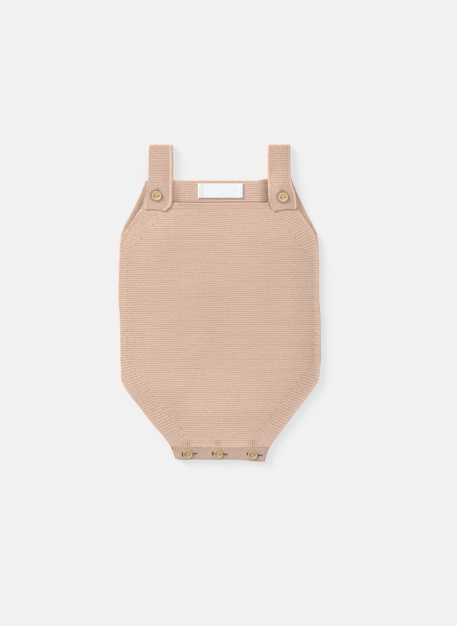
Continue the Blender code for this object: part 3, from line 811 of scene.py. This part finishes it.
def band_place(column, row, upper, low, wall, shorter, from_left, from_right, pulled):
    """Places a crotch band whose underside is at height low, inside the bands' outline.

    Its buttons pull its slits open where pulled is 1.
    """
    share = row / BAND_ROWS
    reach = 2 * column / BAND_COLUMNS - 1
    top = BAND_Y - 0.05
    sag = band_sag(reach * along(BAND_SECTIONS, top, "right"))
    y = top + share * (BAND_END_Y - sag + shorter - top)
    end = half_width(BAND_SECTIONS, reach, y) - np.where(reach < 0, from_left, from_right)
    x = end * reach
    inset = end - np.abs(x)
    from_bottom = (1 - share) * (top - BAND_END_Y)
    y = y + 0.25 * RIDGE_DRIFT(x * 2.2, y) * ease(from_bottom / 4) * ease(share * 4)
    rounding = edge_round(np.minimum(inset, from_bottom) * 0.9)
    crown = 0.22 * np.sin(pi * np.clip(share, 0, 1)) + 0.12 * SETTLING(x * 1.6, y)
    dip = x * 0
    for button, hole in zip(CROTCH_BUTTONS, BAND_HOLES):
        # The slit's rows are drawn apart, and its edges rise a little
        lengthwise = (x - hole.x) / (BAND_HOLE_LENGTH / 2)
        beside = y - hole.y
        closed = (top - BAND_END_Y) / BAND_ROWS
        away = np.maximum(np.abs(beside) - closed, 0.0)
        at_ends = ease((1 - np.abs(lengthwise)) * 4)
        drawn = (slit_gape(lengthwise) - closed * at_ends) * np.exp(-away / 3.0)
        leaning = hole.lean * np.clip(lengthwise, -1, 1)
        leaning = leaning * ease((1.5 - np.abs(lengthwise)) / 0.5) * np.exp(-away / 3.0)
        y = y + pulled * (np.sign(beside) * drawn + leaning)
        from_button = np.hypot(x - button.x, y - button.y)
        dip = dip + 0.35 * hump(from_button, 6.5) - 0.25 * hump(from_button - 8, 2.5)
    outer, inner = faces_of(wall, rounding)
    z = low + np.where(upper > 0.5, outer + (crown - pulled * dip) * rounding, inner)
    nothing = x * 0
    return Cloth(x, y, z, nothing + 1, inset, nothing + 90, share * 15.0,
                 share * 15.0 / 1.3, x / STITCH, x / STITCH)


def band_links_and_painted_shade(knit, across, down, x, y):
    """Linking stitches along the upper edge, painted dark as painted shade in their holes; painted
    shade below them and in a hollow at the end of each slit, and painted light below each button.
    """
    from_top = knit.own("ended")
    stitch = knit.math("FRACT", across * 0.76)
    linked = knit.near(stitch, 0.5, 0.3) * knit.near(from_top, 1.3, 1.1) * 0.75
    linked = linked + knit.near(stitch, 0.5, 0.4) * knit.near(from_top, 3.4, 1.9) * 0.24
    painted_shade = knit.near(from_top, 4.5, 3.5) * 0.06
    for button, slit in zip(CROTCH_BUTTONS, BAND_HOLES):
        painted_light = knit.spot(x, y, button.x + 5.6, button.y - 4.0, 4.2, 3.6)
        hollow_shade = knit.spot(x, y, button.x + 8.0, slit.y + slit.lean * 0.9, 4.5, 2.6)
        painted_shade = hollow_shade * 0.42 - painted_light * 0.20 + painted_shade
    return linked, painted_shade


def back_band_painted_shade(knit, across, down, x, y):
    """The back band is also painted darker under the front's buttonholes, as painted shade."""
    linked, painted_shade = band_links_and_painted_shade(knit, across, down, x, y)
    under = sum(knit.spot(x, y, button.x - 2.0, button.y, 14.0, 4.5) for button in CROTCH_BUTTONS)
    return linked, painted_shade + under * 0.60


band_slits = []
for hole in BAND_HOLES:
    band_level = along(BAND_SECTIONS, hole.y, "left") - 1.2
    spots = [round((x / band_level + 1) / 2 * BAND_COLUMNS)
             for x in (hole.x - BAND_HOLE_LENGTH / 2, hole.x + BAND_HOLE_LENGTH / 2)]
    middle = round((BAND_Y - hole.y) / (BAND_Y - BAND_END_Y + band_sag(hole.x)) * BAND_ROWS)
    band_slits.append((*spots, middle - 1, middle + 1))
front_lie = partial(band_place, low=FRONT_BAND_LOW, wall=BAND_WALL, shorter=0.0,
                    from_left=2.4, from_right=0.0, pulled=1.0)
back_lie = partial(band_place, low=0.0, wall=WALL, shorter=0.8,
                   from_left=0.0, from_right=0.8, pulled=0.0)
# Each band is a copy of the jersey painted darker overall, as painted shade
for word, lie, marks, slits in (("front", front_lie, band_links_and_painted_shade, band_slits),
                                ("back", back_lie, back_band_painted_shade, ())):
    jersey = knit_finish("jersey_crotch_band_" + word, marks, wale=0.67, painted_lightness=0.855)
    band = knit_wall("jersey_band_" + word, jersey, BAND_COLUMNS, BAND_ROWS, lie, slits=slits)
    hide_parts("crotch_band_" + word)
    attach(band, "root")

# ---- Shoulder straps
# Ridged knit with smooth beaded edges. A strap comes up from the back's corner, folds over at
# the shoulder and lies on the front's corner, with an upright buttonhole near its end.

FOLD_Y = 188.2
SHOULDER_Y = {-1: 145.3, 1: 147.2}        # where each strap is joined to the back
STRAP_LOOP_GAP = 1.2      # between the two layers at the fold
STRAP_RIDGE = 2.9         # from one ridge to the next
LOOP_Y = FOLD_Y - WALL - STRAP_LOOP_GAP / 2
Strap = namedtuple("Strap", "y outer inner")
LEFT_STRAP = rows_of(
    Strap,
    (188.2, 84.2, 57.2), (185, 85.0, 56.5), (175, 85.4, 56.3), (150, 85.9, 56.3),
    (136, 87.3, 56.3), (125, 89.8, 56.4), (118.5, 91.6, 56.9), (114.0, 91.9, 59.2),
    (109.6, 90.4, 64.8),
)
RIGHT_STRAP = rows_of(
    Strap,
    (188.2, 82.4, 56.6), (185, 83.0, 56.0), (163, 82.9, 55.8), (152, 83.4, 56.1),
    (142, 85.1, 56.8), (127, 89.7, 57.4), (121, 90.5, 57.9), (112.8, 91.2, 60.4),
    (109.6, 89.6, 63.2),
)
STRAP_TIP_Y = LEFT_STRAP[-1].y
STRAP_CUTS = 7
OVER_RIDGES = round((LOOP_Y - STRAP_TIP_Y) / STRAP_RIDGE)
LOOP_RIDGES = 2
UNDER_RIDGES = 14
STRAP_RIDGES = OVER_RIDGES + LOOP_RIDGES + UNDER_RIDGES
# From the outer edge to the inner one; the buttonhole is between two that lie close
STRAP_STATIONS = (0.0, 0.04, 0.1, 0.26, 0.436, 0.446, 0.6, 0.72, 0.85, 0.94, 1.0)
STRAP_SLIT_COLUMNS = (4, 5)
STRAP_BUTTONS = rows_of(
    Button,
    ("strap_button_left", -75.2, 126.2, 0), ("strap_button_right", 75.1, 124.6, 5),
)
STRAP_HOLE_LENGTH = 10.4
STRAP_HOLE_UP = 2.0       # the middle of the slit above the button's


def strap_under(x, y):
    """Height of the upper layer's underside: on the front's corner, on the back, up to the fold."""
    corner_turn = half_width(FRONT_TURNS, x, NECK_Y)
    above = y - ridge_y(FRONT, x, 0.0, np.abs(x), corner_turn, FRONT_TURNS[0].tilt)
    on_front = front_under(x, np.minimum(y, FRONT_SECTIONS[0].y)) + WALL + SEAM
    on_back = WALL + SEAM + (STRAP_LOOP_GAP - SEAM) * ease((y - 148) / 16)
    return on_front + (on_back - on_front) * ease(above / 38)


def strap_place(column, row, upper, side, edges, button):
    """Places a folded strap: up the front's corner to the fold, round, and down to the back."""
    ridges = row / STRAP_CUTS
    share = np.interp(column, np.arange(len(STRAP_STATIONS)), STRAP_STATIONS)
    over = ridges <= OVER_RIDGES
    down = np.clip((ridges - OVER_RIDGES - LOOP_RIDGES) / UNDER_RIDGES, 0, 1)
    turned = pi * np.clip((ridges - OVER_RIDGES) / LOOP_RIDGES, 0, 1)
    y_over = STRAP_TIP_Y + (LOOP_Y - STRAP_TIP_Y) * ridges / OVER_RIDGES
    y = np.where(over, y_over, LOOP_Y + (SHOULDER_Y[side] + SEAM - LOOP_Y) * down)
    outer = along(edges, y, "outer")
    inner = along(edges, y, "inner")
    inset = np.minimum(share, 1 - share) * (outer - inner)
    x = side * (outer + share * (inner - outer))
    x = x + 0.3 * RIDGE_DRIFT(x * 1.5, y * 1.5 + 40 * side) * ease((y - 116) / 12)
    from_tip = np.where(over, y - STRAP_TIP_Y, 60.0)
    # The inner edge is a broad double bead, the outer one a narrow bead
    edge = np.where(share > 0.5, 4.2, 1.9)
    selvedge = 1 - ease((inset - edge * 0.7) / (edge * 0.4))
    weak = 0.75 * (1 - ease((from_tip - 16) / 16))
    smooth = np.maximum(selvedge, weak)
    rounding = edge_round(np.minimum(inset, from_tip + 0.1) * 0.55)
    relief = (0.42 - 0.03 * side) * RIDGE_DEPTH
    relief = relief * (1 - SMOOTHED * smooth) * knit_relief(ridges) * rounding
    bead = 0.24 * hump(inset - edge * 0.42, edge * 0.3) - 0.2 * hump(inset - edge, 0.7)
    # The end is pressed thinner than the rest
    wall = WALL * (1 - 0.54 * (1 - ease((from_tip - 4) / 26)))
    outside = faces_of(wall, rounding)[0] + relief + bead
    inside = faces_of(WALL, rounding)[1]
    from_skin = np.where(upper > 0.5, outside, inside)
    # Upper layer, loop and under layer: the outer face is up, round and down
    from_button = np.hypot(x - button.x, y - button.y)
    pull = 0.22 * hump(from_button - 8.5, 2.6) - 0.3 * hump(from_button, 6)
    flat_z = strap_under(x, y) + pull * over + from_skin
    centre = WALL + STRAP_LOOP_GAP / 2
    radius = STRAP_LOOP_GAP / 2 + from_skin
    loop_y = LOOP_Y + radius * np.sin(turned)
    loop_z = centre + radius * np.cos(turned)
    under_z = np.maximum(WALL - from_skin, 0.0)
    z = np.where(over, flat_z, np.where(down > 0, under_z, loop_z))
    arch = 1.0 * np.sin(pi * np.clip((share - 0.05) / 0.9, 0, 1)) + 1.0 - 2.2 * share
    arch = arch * (1 - ease(from_tip / 9))
    y = np.where(over, y + arch, np.where(down > 0, y, loop_y))
    z = z + over * 0.3 * np.sin(pi * share) * (1 - ease(from_tip / 7))
    centre_x = side * (outer + inner) / 2
    return Cloth(x, y, z, smooth, inset, x * 0 + 90, from_tip, ridges,
                 (x - centre_x) / STITCH, (x - centre_x) / STITCH)


def strap_painted_shade(knit, across, down, x, y, button, right_side, left_light):
    """The strap is painted darker in the dimple round its button, as painted shade, and lighter on
    its beads and at its end, as painted highlights.
    """
    left_side = 1 - right_side
    from_x, from_y = x - (button.x - 1.2), y - (button.y + 0.7)
    from_button = knit.math("SQRT", from_x * from_x + from_y * from_y)
    dimple_shade = (1 - knit.ramp(from_button, 6.4, 9.2)) * 0.28
    # Above the button the slit's closed end is a soft hollow in painted shade; below it, painted
    # light
    slit_x = button.x + 1.2 - 4.0 * right_side
    hollow_shade = knit.spot(x, y, slit_x, button.y + 8.3, 3.6, 6.2) * 0.17
    painted_light = knit.spot(x, y, button.x + 4.6, button.y - 7.0, 8.2, 5.0) * 0.26
    inset = knit.own("inset")
    # Painted highlights on the beads along the strap's edges
    right_bead_highlight = 1 - knit.ramp(inset, 1.8 + left_side, 4.0 + left_side)
    right_bead_highlight = right_bead_highlight * knit.ramp(from_x, 7, 10) * (0.19 + 0.09 * right_side)
    left_bead_highlight = (1 - knit.ramp(inset, 2.4, 4.2)) * knit.ramp(from_x, -7, -10)
    high = knit.ramp(y, 150, 158) * right_side * 0.16
    low = knit.ramp(y, 128, 120) * left_side * 0.22
    left_bead_highlight = left_bead_highlight * (left_light + high + low)
    # The right strap's outer part is painted a little darker, as painted shade
    right_half_shade = knit.ramp(from_x, -4, 6) * right_side * 0.06
    # The strap's end is painted lighter, as painted light
    tip_light = (1 - knit.ramp(knit.own("ended"), 0.2, 1.6)) * 0.16
    return 0.0, dimple_shade + hollow_shade + right_half_shade - painted_light - right_bead_highlight - left_bead_highlight - tip_light


# Each strap is its own copy of the knit, the right one painted darker as painted shade, with its
# own painted highlight on the left bead
for side, word, edges, button, painted_lightness, left_light in (
        (-1, "left", LEFT_STRAP, STRAP_BUTTONS[0], 0.935, -0.04),
        (1, "right", RIGHT_STRAP, STRAP_BUTTONS[1], 0.91, 0.04)):
    from_tip = button.y + STRAP_HOLE_UP - STRAP_TIP_Y
    slit_rows = [round((from_tip + half) / STRAP_RIDGE * STRAP_CUTS)
                 for half in (-STRAP_HOLE_LENGTH / 2, STRAP_HOLE_LENGTH / 2)]
    marks = partial(strap_painted_shade, button=button, right_side=max(side, 0), left_light=left_light)
    strap = knit_wall("knit_strap_" + word,
                      knit_finish("ridged_knit_strap_" + word, marks, painted_lightness=painted_lightness),
                      len(STRAP_STATIONS) - 1, STRAP_RIDGES * STRAP_CUTS,
                      partial(strap_place, side=side, edges=edges, button=button), cuts=2,
                      slits=[(*STRAP_SLIT_COLUMNS, *slit_rows)], cut_lower=True)
    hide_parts("strap_" + word)
    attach(strap, "root")

# ---- Buttons
# Five turned two-hole buttons of pale corozo nut, 18 ligne, with a raised rim and a sunk
# middle. Each is sewn on with three turns of cotton thread and sits in its buttonhole.

HOLE_APART = 4.4
STRAP_BUTTON_SUNK = 1.1   # how far a button is drawn into its buttonhole
CROTCH_BUTTON_SUNK = 0.5
BUTTON_PROFILE = (
    (0, 0), (4.2, 0), (4.95, 0.12), (5.45, 0.48), (5.68, 0.9), (5.75, 1.25), (5.68, 1.6),
    (5.48, 1.92), (5.2, 2.12), (4.9, 2.2), (4.6, 2.16), (4.3, 2.05), (4.0, 1.88), (3.7, 1.74),
    (3.3, 1.65), (2.6, 1.6), (1.3, 1.57), (0, 1.56),
)
COROZO_BROWN = (0.63, 0.40, 0.215, 1.0)
COROZO_PALE = (0.86, 0.625, 0.385, 1.0)
HOLE_PROFILE = ((0, -1), (1.05, -1), (1.05, 1.2), (1.12, 1.4), (1.28, 1.56), (1.34, 3), (0, 3))


def turned_shape(profile, steps):
    """A shape turned on a lathe from (radius, height) points, in millimetres."""
    bm = bmesh.new()
    verts = [bm.verts.new((radius * MM, 0, z * MM)) for radius, z in profile]
    edges = [bm.edges.new(pair) for pair in zip(verts, verts[1:])]
    bmesh.ops.spin(bm, geom=verts + edges, cent=(0, 0, 0), axis=(0, 0, 1), angle=2 * pi,
                   steps=steps, use_merge=True)
    bmesh.ops.remove_doubles(bm, verts=bm.verts[:], dist=1e-6)
    bmesh.ops.recalc_face_normals(bm, faces=bm.faces[:])
    return bm


def drilled_button():
    """The button's mesh, with its two thread holes cut through."""
    blank = placed(mesh_of(turned_shape(BUTTON_PROFILE, steps=56), "button_blank"))
    bm = bmesh.new()
    for side in (-1, 1):
        drill = turned_shape(HOLE_PROFILE, steps=20)
        bmesh.ops.translate(drill, verts=drill.verts[:], vec=(side * HOLE_APART / 2 * MM, 0, 0))
        bm.from_mesh(mesh_of(drill, "drill"))
    cutter = placed(mesh_of(bm, "drills"))
    boolean = blank.modifiers.new("holes", "BOOLEAN")
    boolean.object = cutter
    boolean.solver = "EXACT"
    graph = bpy.context.evaluated_depsgraph_get()
    drilled = bpy.data.meshes.new_from_object(blank.evaluated_get(graph))
    for made in (blank, cutter):
        bpy.data.objects.remove(made, do_unlink=True)
    return drilled


def corozo_finish(name, painted_lightness):
    """Pale corozo: warm yellow nut, fine turning lines and thin grain, its rim painted a little
    lighter as a painted highlight and its sunk middle a little darker as painted shade.
    """
    nut = Finish(name, 0.5, coat_weight=0.06, coat_roughness=0.35, specular_ior_level=0.35)
    x, y, _ = nut.split(nut.node("UVMap", {"uv_map": "face"}))
    radius = nut.math("SQRT", x * x + y * y)
    grain = nut.streaks(x * 5.0, y * 0.9, 4.0)
    fleck = nut.streaks(x * 3.0, y * 3.0)
    rim = nut.near(radius, 4.9, 1.2)
    sunk = 1 - nut.ramp(radius, 3.2, 4.3)
    turning = nut.math("SINE", radius * 26.0)
    colour = nut.tint(grain, COROZO_BROWN, COROZO_PALE)
    light = 0.93 + rim * 0.02 - sunk * 0.02 + (fleck - 0.5) * 0.3 + turning * 0.012
    roughness = 0.44 + grain * 0.14 - rim * 0.05
    return nut.done(nut.shade(colour, light * painted_lightness), turning * 0.4 + grain, 0.035, roughness)


strap_corozo = corozo_finish("pale_corozo", 1.0)
# The crotch buttons take a copy painted darker, as painted shade
crotch_corozo = corozo_finish("shaded_corozo", 0.78)
button_thread = thread_finish("sand_sewing_thread", (0.66, 0.46, 0.30, 1.0))
button_mesh = drilled_button()
for node, button_x, button_y, turn in STRAP_BUTTONS + CROTCH_BUTTONS:
    on_strap = button_y > 0
    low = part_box(node)[0][2] / MM - (STRAP_BUTTON_SUNK if on_strap else CROTCH_BUTTON_SUNK)
    mesh = button_mesh.copy()
    mesh.name = "turned_" + node
    face = mesh.uv_layers.new(name="face")
    for loop in mesh.loops:
        face.data[loop.index].uv = (mesh.vertices[loop.vertex_index].co.xy / MM)
    tilt = Matrix.Rotation(radians(2.5 * cos(button_x)), 4, "X")
    turned = Matrix.Rotation(radians(turn), 4, "Z")
    mesh.transform(Matrix.Translation(Vector((button_x, button_y, low)) * MM) @ turned @ tilt)
    button = placed(mesh)
    mesh.shade_smooth()
    mesh.set_sharp_from_angle(angle=radians(42))
    mesh.materials.append(strap_corozo if on_strap else crotch_corozo)
    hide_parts(node)
    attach(button, "root")
    ways = Matrix.Rotation(radians(turn), 3, "Z")
    stitches = []
    for count in range(3):
        aside = (count - 1) * 0.4
        ends = [ways @ Vector((s * (HOLE_APART / 2 + 0.1), aside + s * 0.12 * (count - 1), 0))
                for s in (-1, 1)]
        at = Vector((button_x, button_y, low + 1.15))
        stitches.append(Stitch(at + ends[0], at + ends[1], rise=0.8, thick=0.5))
    thread = thread_piece("thread_" + node, stitches, button_thread)
bpy.data.meshes.remove(button_mesh)

# ---- Buttonhole edges
# Each slit is overcast with matching cotton: close stitches over both edges, which keep the knit
# from running.

# The crotch slits' thread is painted deep brown, as painted shade of the slits
shade_brown_overcast = thread_finish("overcast_cotton_shade_brown", (0.40, 0.25, 0.17, 1.0))
pale_overcast = thread_finish("overcast_cotton_pale", (0.58, 0.40, 0.30, 1.0))


def overcast(name, material, centre_x, centre_y, length, half_gapes, upright, height, lean=0.0):
    """Close stitches round a slit of those half gapes, on cloth whose face is at height."""
    stitches = []
    count = len(half_gapes) - 1
    for number, half_gape in enumerate(half_gapes):
        lengthwise = (number / count - 0.5) * length
        rise = lean * (2 * number / count - 1)
        for edge in (-1, 1):
            spots = [(lengthwise, rise + edge * (half_gape + 0.05)),
                     (lengthwise + 0.15 * (number % 2), rise + edge * (half_gape + 1.1))]
            if upright:
                spots = [(across, lengthways) for lengthways, across in spots]
            ends = [Vector((centre_x + x, centre_y + y, height - 0.4)) for x, y in spots]
            stitches.append(Stitch(*ends, rise=0.3, thick=0.42))
    piece = thread_piece(name, stitches, material)


for word, button in zip(("left", "right"), STRAP_BUTTONS):
    slit_y = button.y + STRAP_HOLE_UP
    low = strap_under(np.array([button.x]), np.array([slit_y]))[0]
    overcast("overcast_strap_" + word, pale_overcast, button.x, slit_y, STRAP_HOLE_LENGTH,
             [0.12] * 31, True, low + WALL - 0.9)
for word, hole in zip(("left", "middle", "right"), BAND_HOLES):
    gapes = [max(float(slit_gape(number / 20 - 1)), 0.4) for number in range(41)]
    overcast("overcast_crotch_" + word, shade_brown_overcast, hole.x, hole.y,
             BAND_HOLE_LENGTH, gapes, False, FRONT_BAND_LOW + BAND_WALL + 0.1, hole.lean)

# ---- Floor, light and camera
# A plain pale light table, which keeps the shadows on it faint, under soft studio light from
# the upper left, seen from straight above.

FLOOR_BELOW = 0.3         # room for the relief of the back's underside
CAMERA_PLACE = Vector((9.8, -12.7, 1800.0))

bm = bmesh.new()
bmesh.ops.create_grid(bm, x_segments=1, y_segments=1, size=4.0)
bmesh.ops.translate(bm, verts=bm.verts[:], vec=(0, 0, -FLOOR_BELOW * MM))
floor = placed(mesh_of(bm, "floor"))
paper = Finish("pale_light_table", 0.9, specular_ior_level=0.0, emission_strength=0.575)
paper.shader.inputs["Base Color"].default_value = (0.29, 0.29, 0.29, 1.0)
paper.shader.inputs["Emission Color"].default_value = (1.0, 1.0, 1.0, 1.0)
floor.data.materials.append(paper.material)

scene = bpy.context.scene
scene.view_settings.view_transform = "Standard"
world = bpy.data.worlds.new("studio")
world.use_nodes = True
world.node_tree.nodes["Background"].inputs["Color"].default_value = (0.97, 0.99, 1.03, 1.0)
world.node_tree.nodes["Background"].inputs["Strength"].default_value = 0.71
scene.world = world

key_data = bpy.data.lights.new("key", "SUN")
key_data.energy = 2.93
key_data.color = (1.04, 1.01, 0.95)
key_data.angle = radians(23)
key = placed(key_data)
key.rotation_euler = Vector((0.76, -0.65, -0.43)).to_track_quat("-Z", "Y").to_euler()

camera_data = bpy.data.cameras.new("camera")
camera_data.lens = 86.8
camera_data.clip_end = 20.0
camera = placed(camera_data)
camera.location = CAMERA_PLACE * MM
scene.camera = camera

bpy.context.view_layer.update()
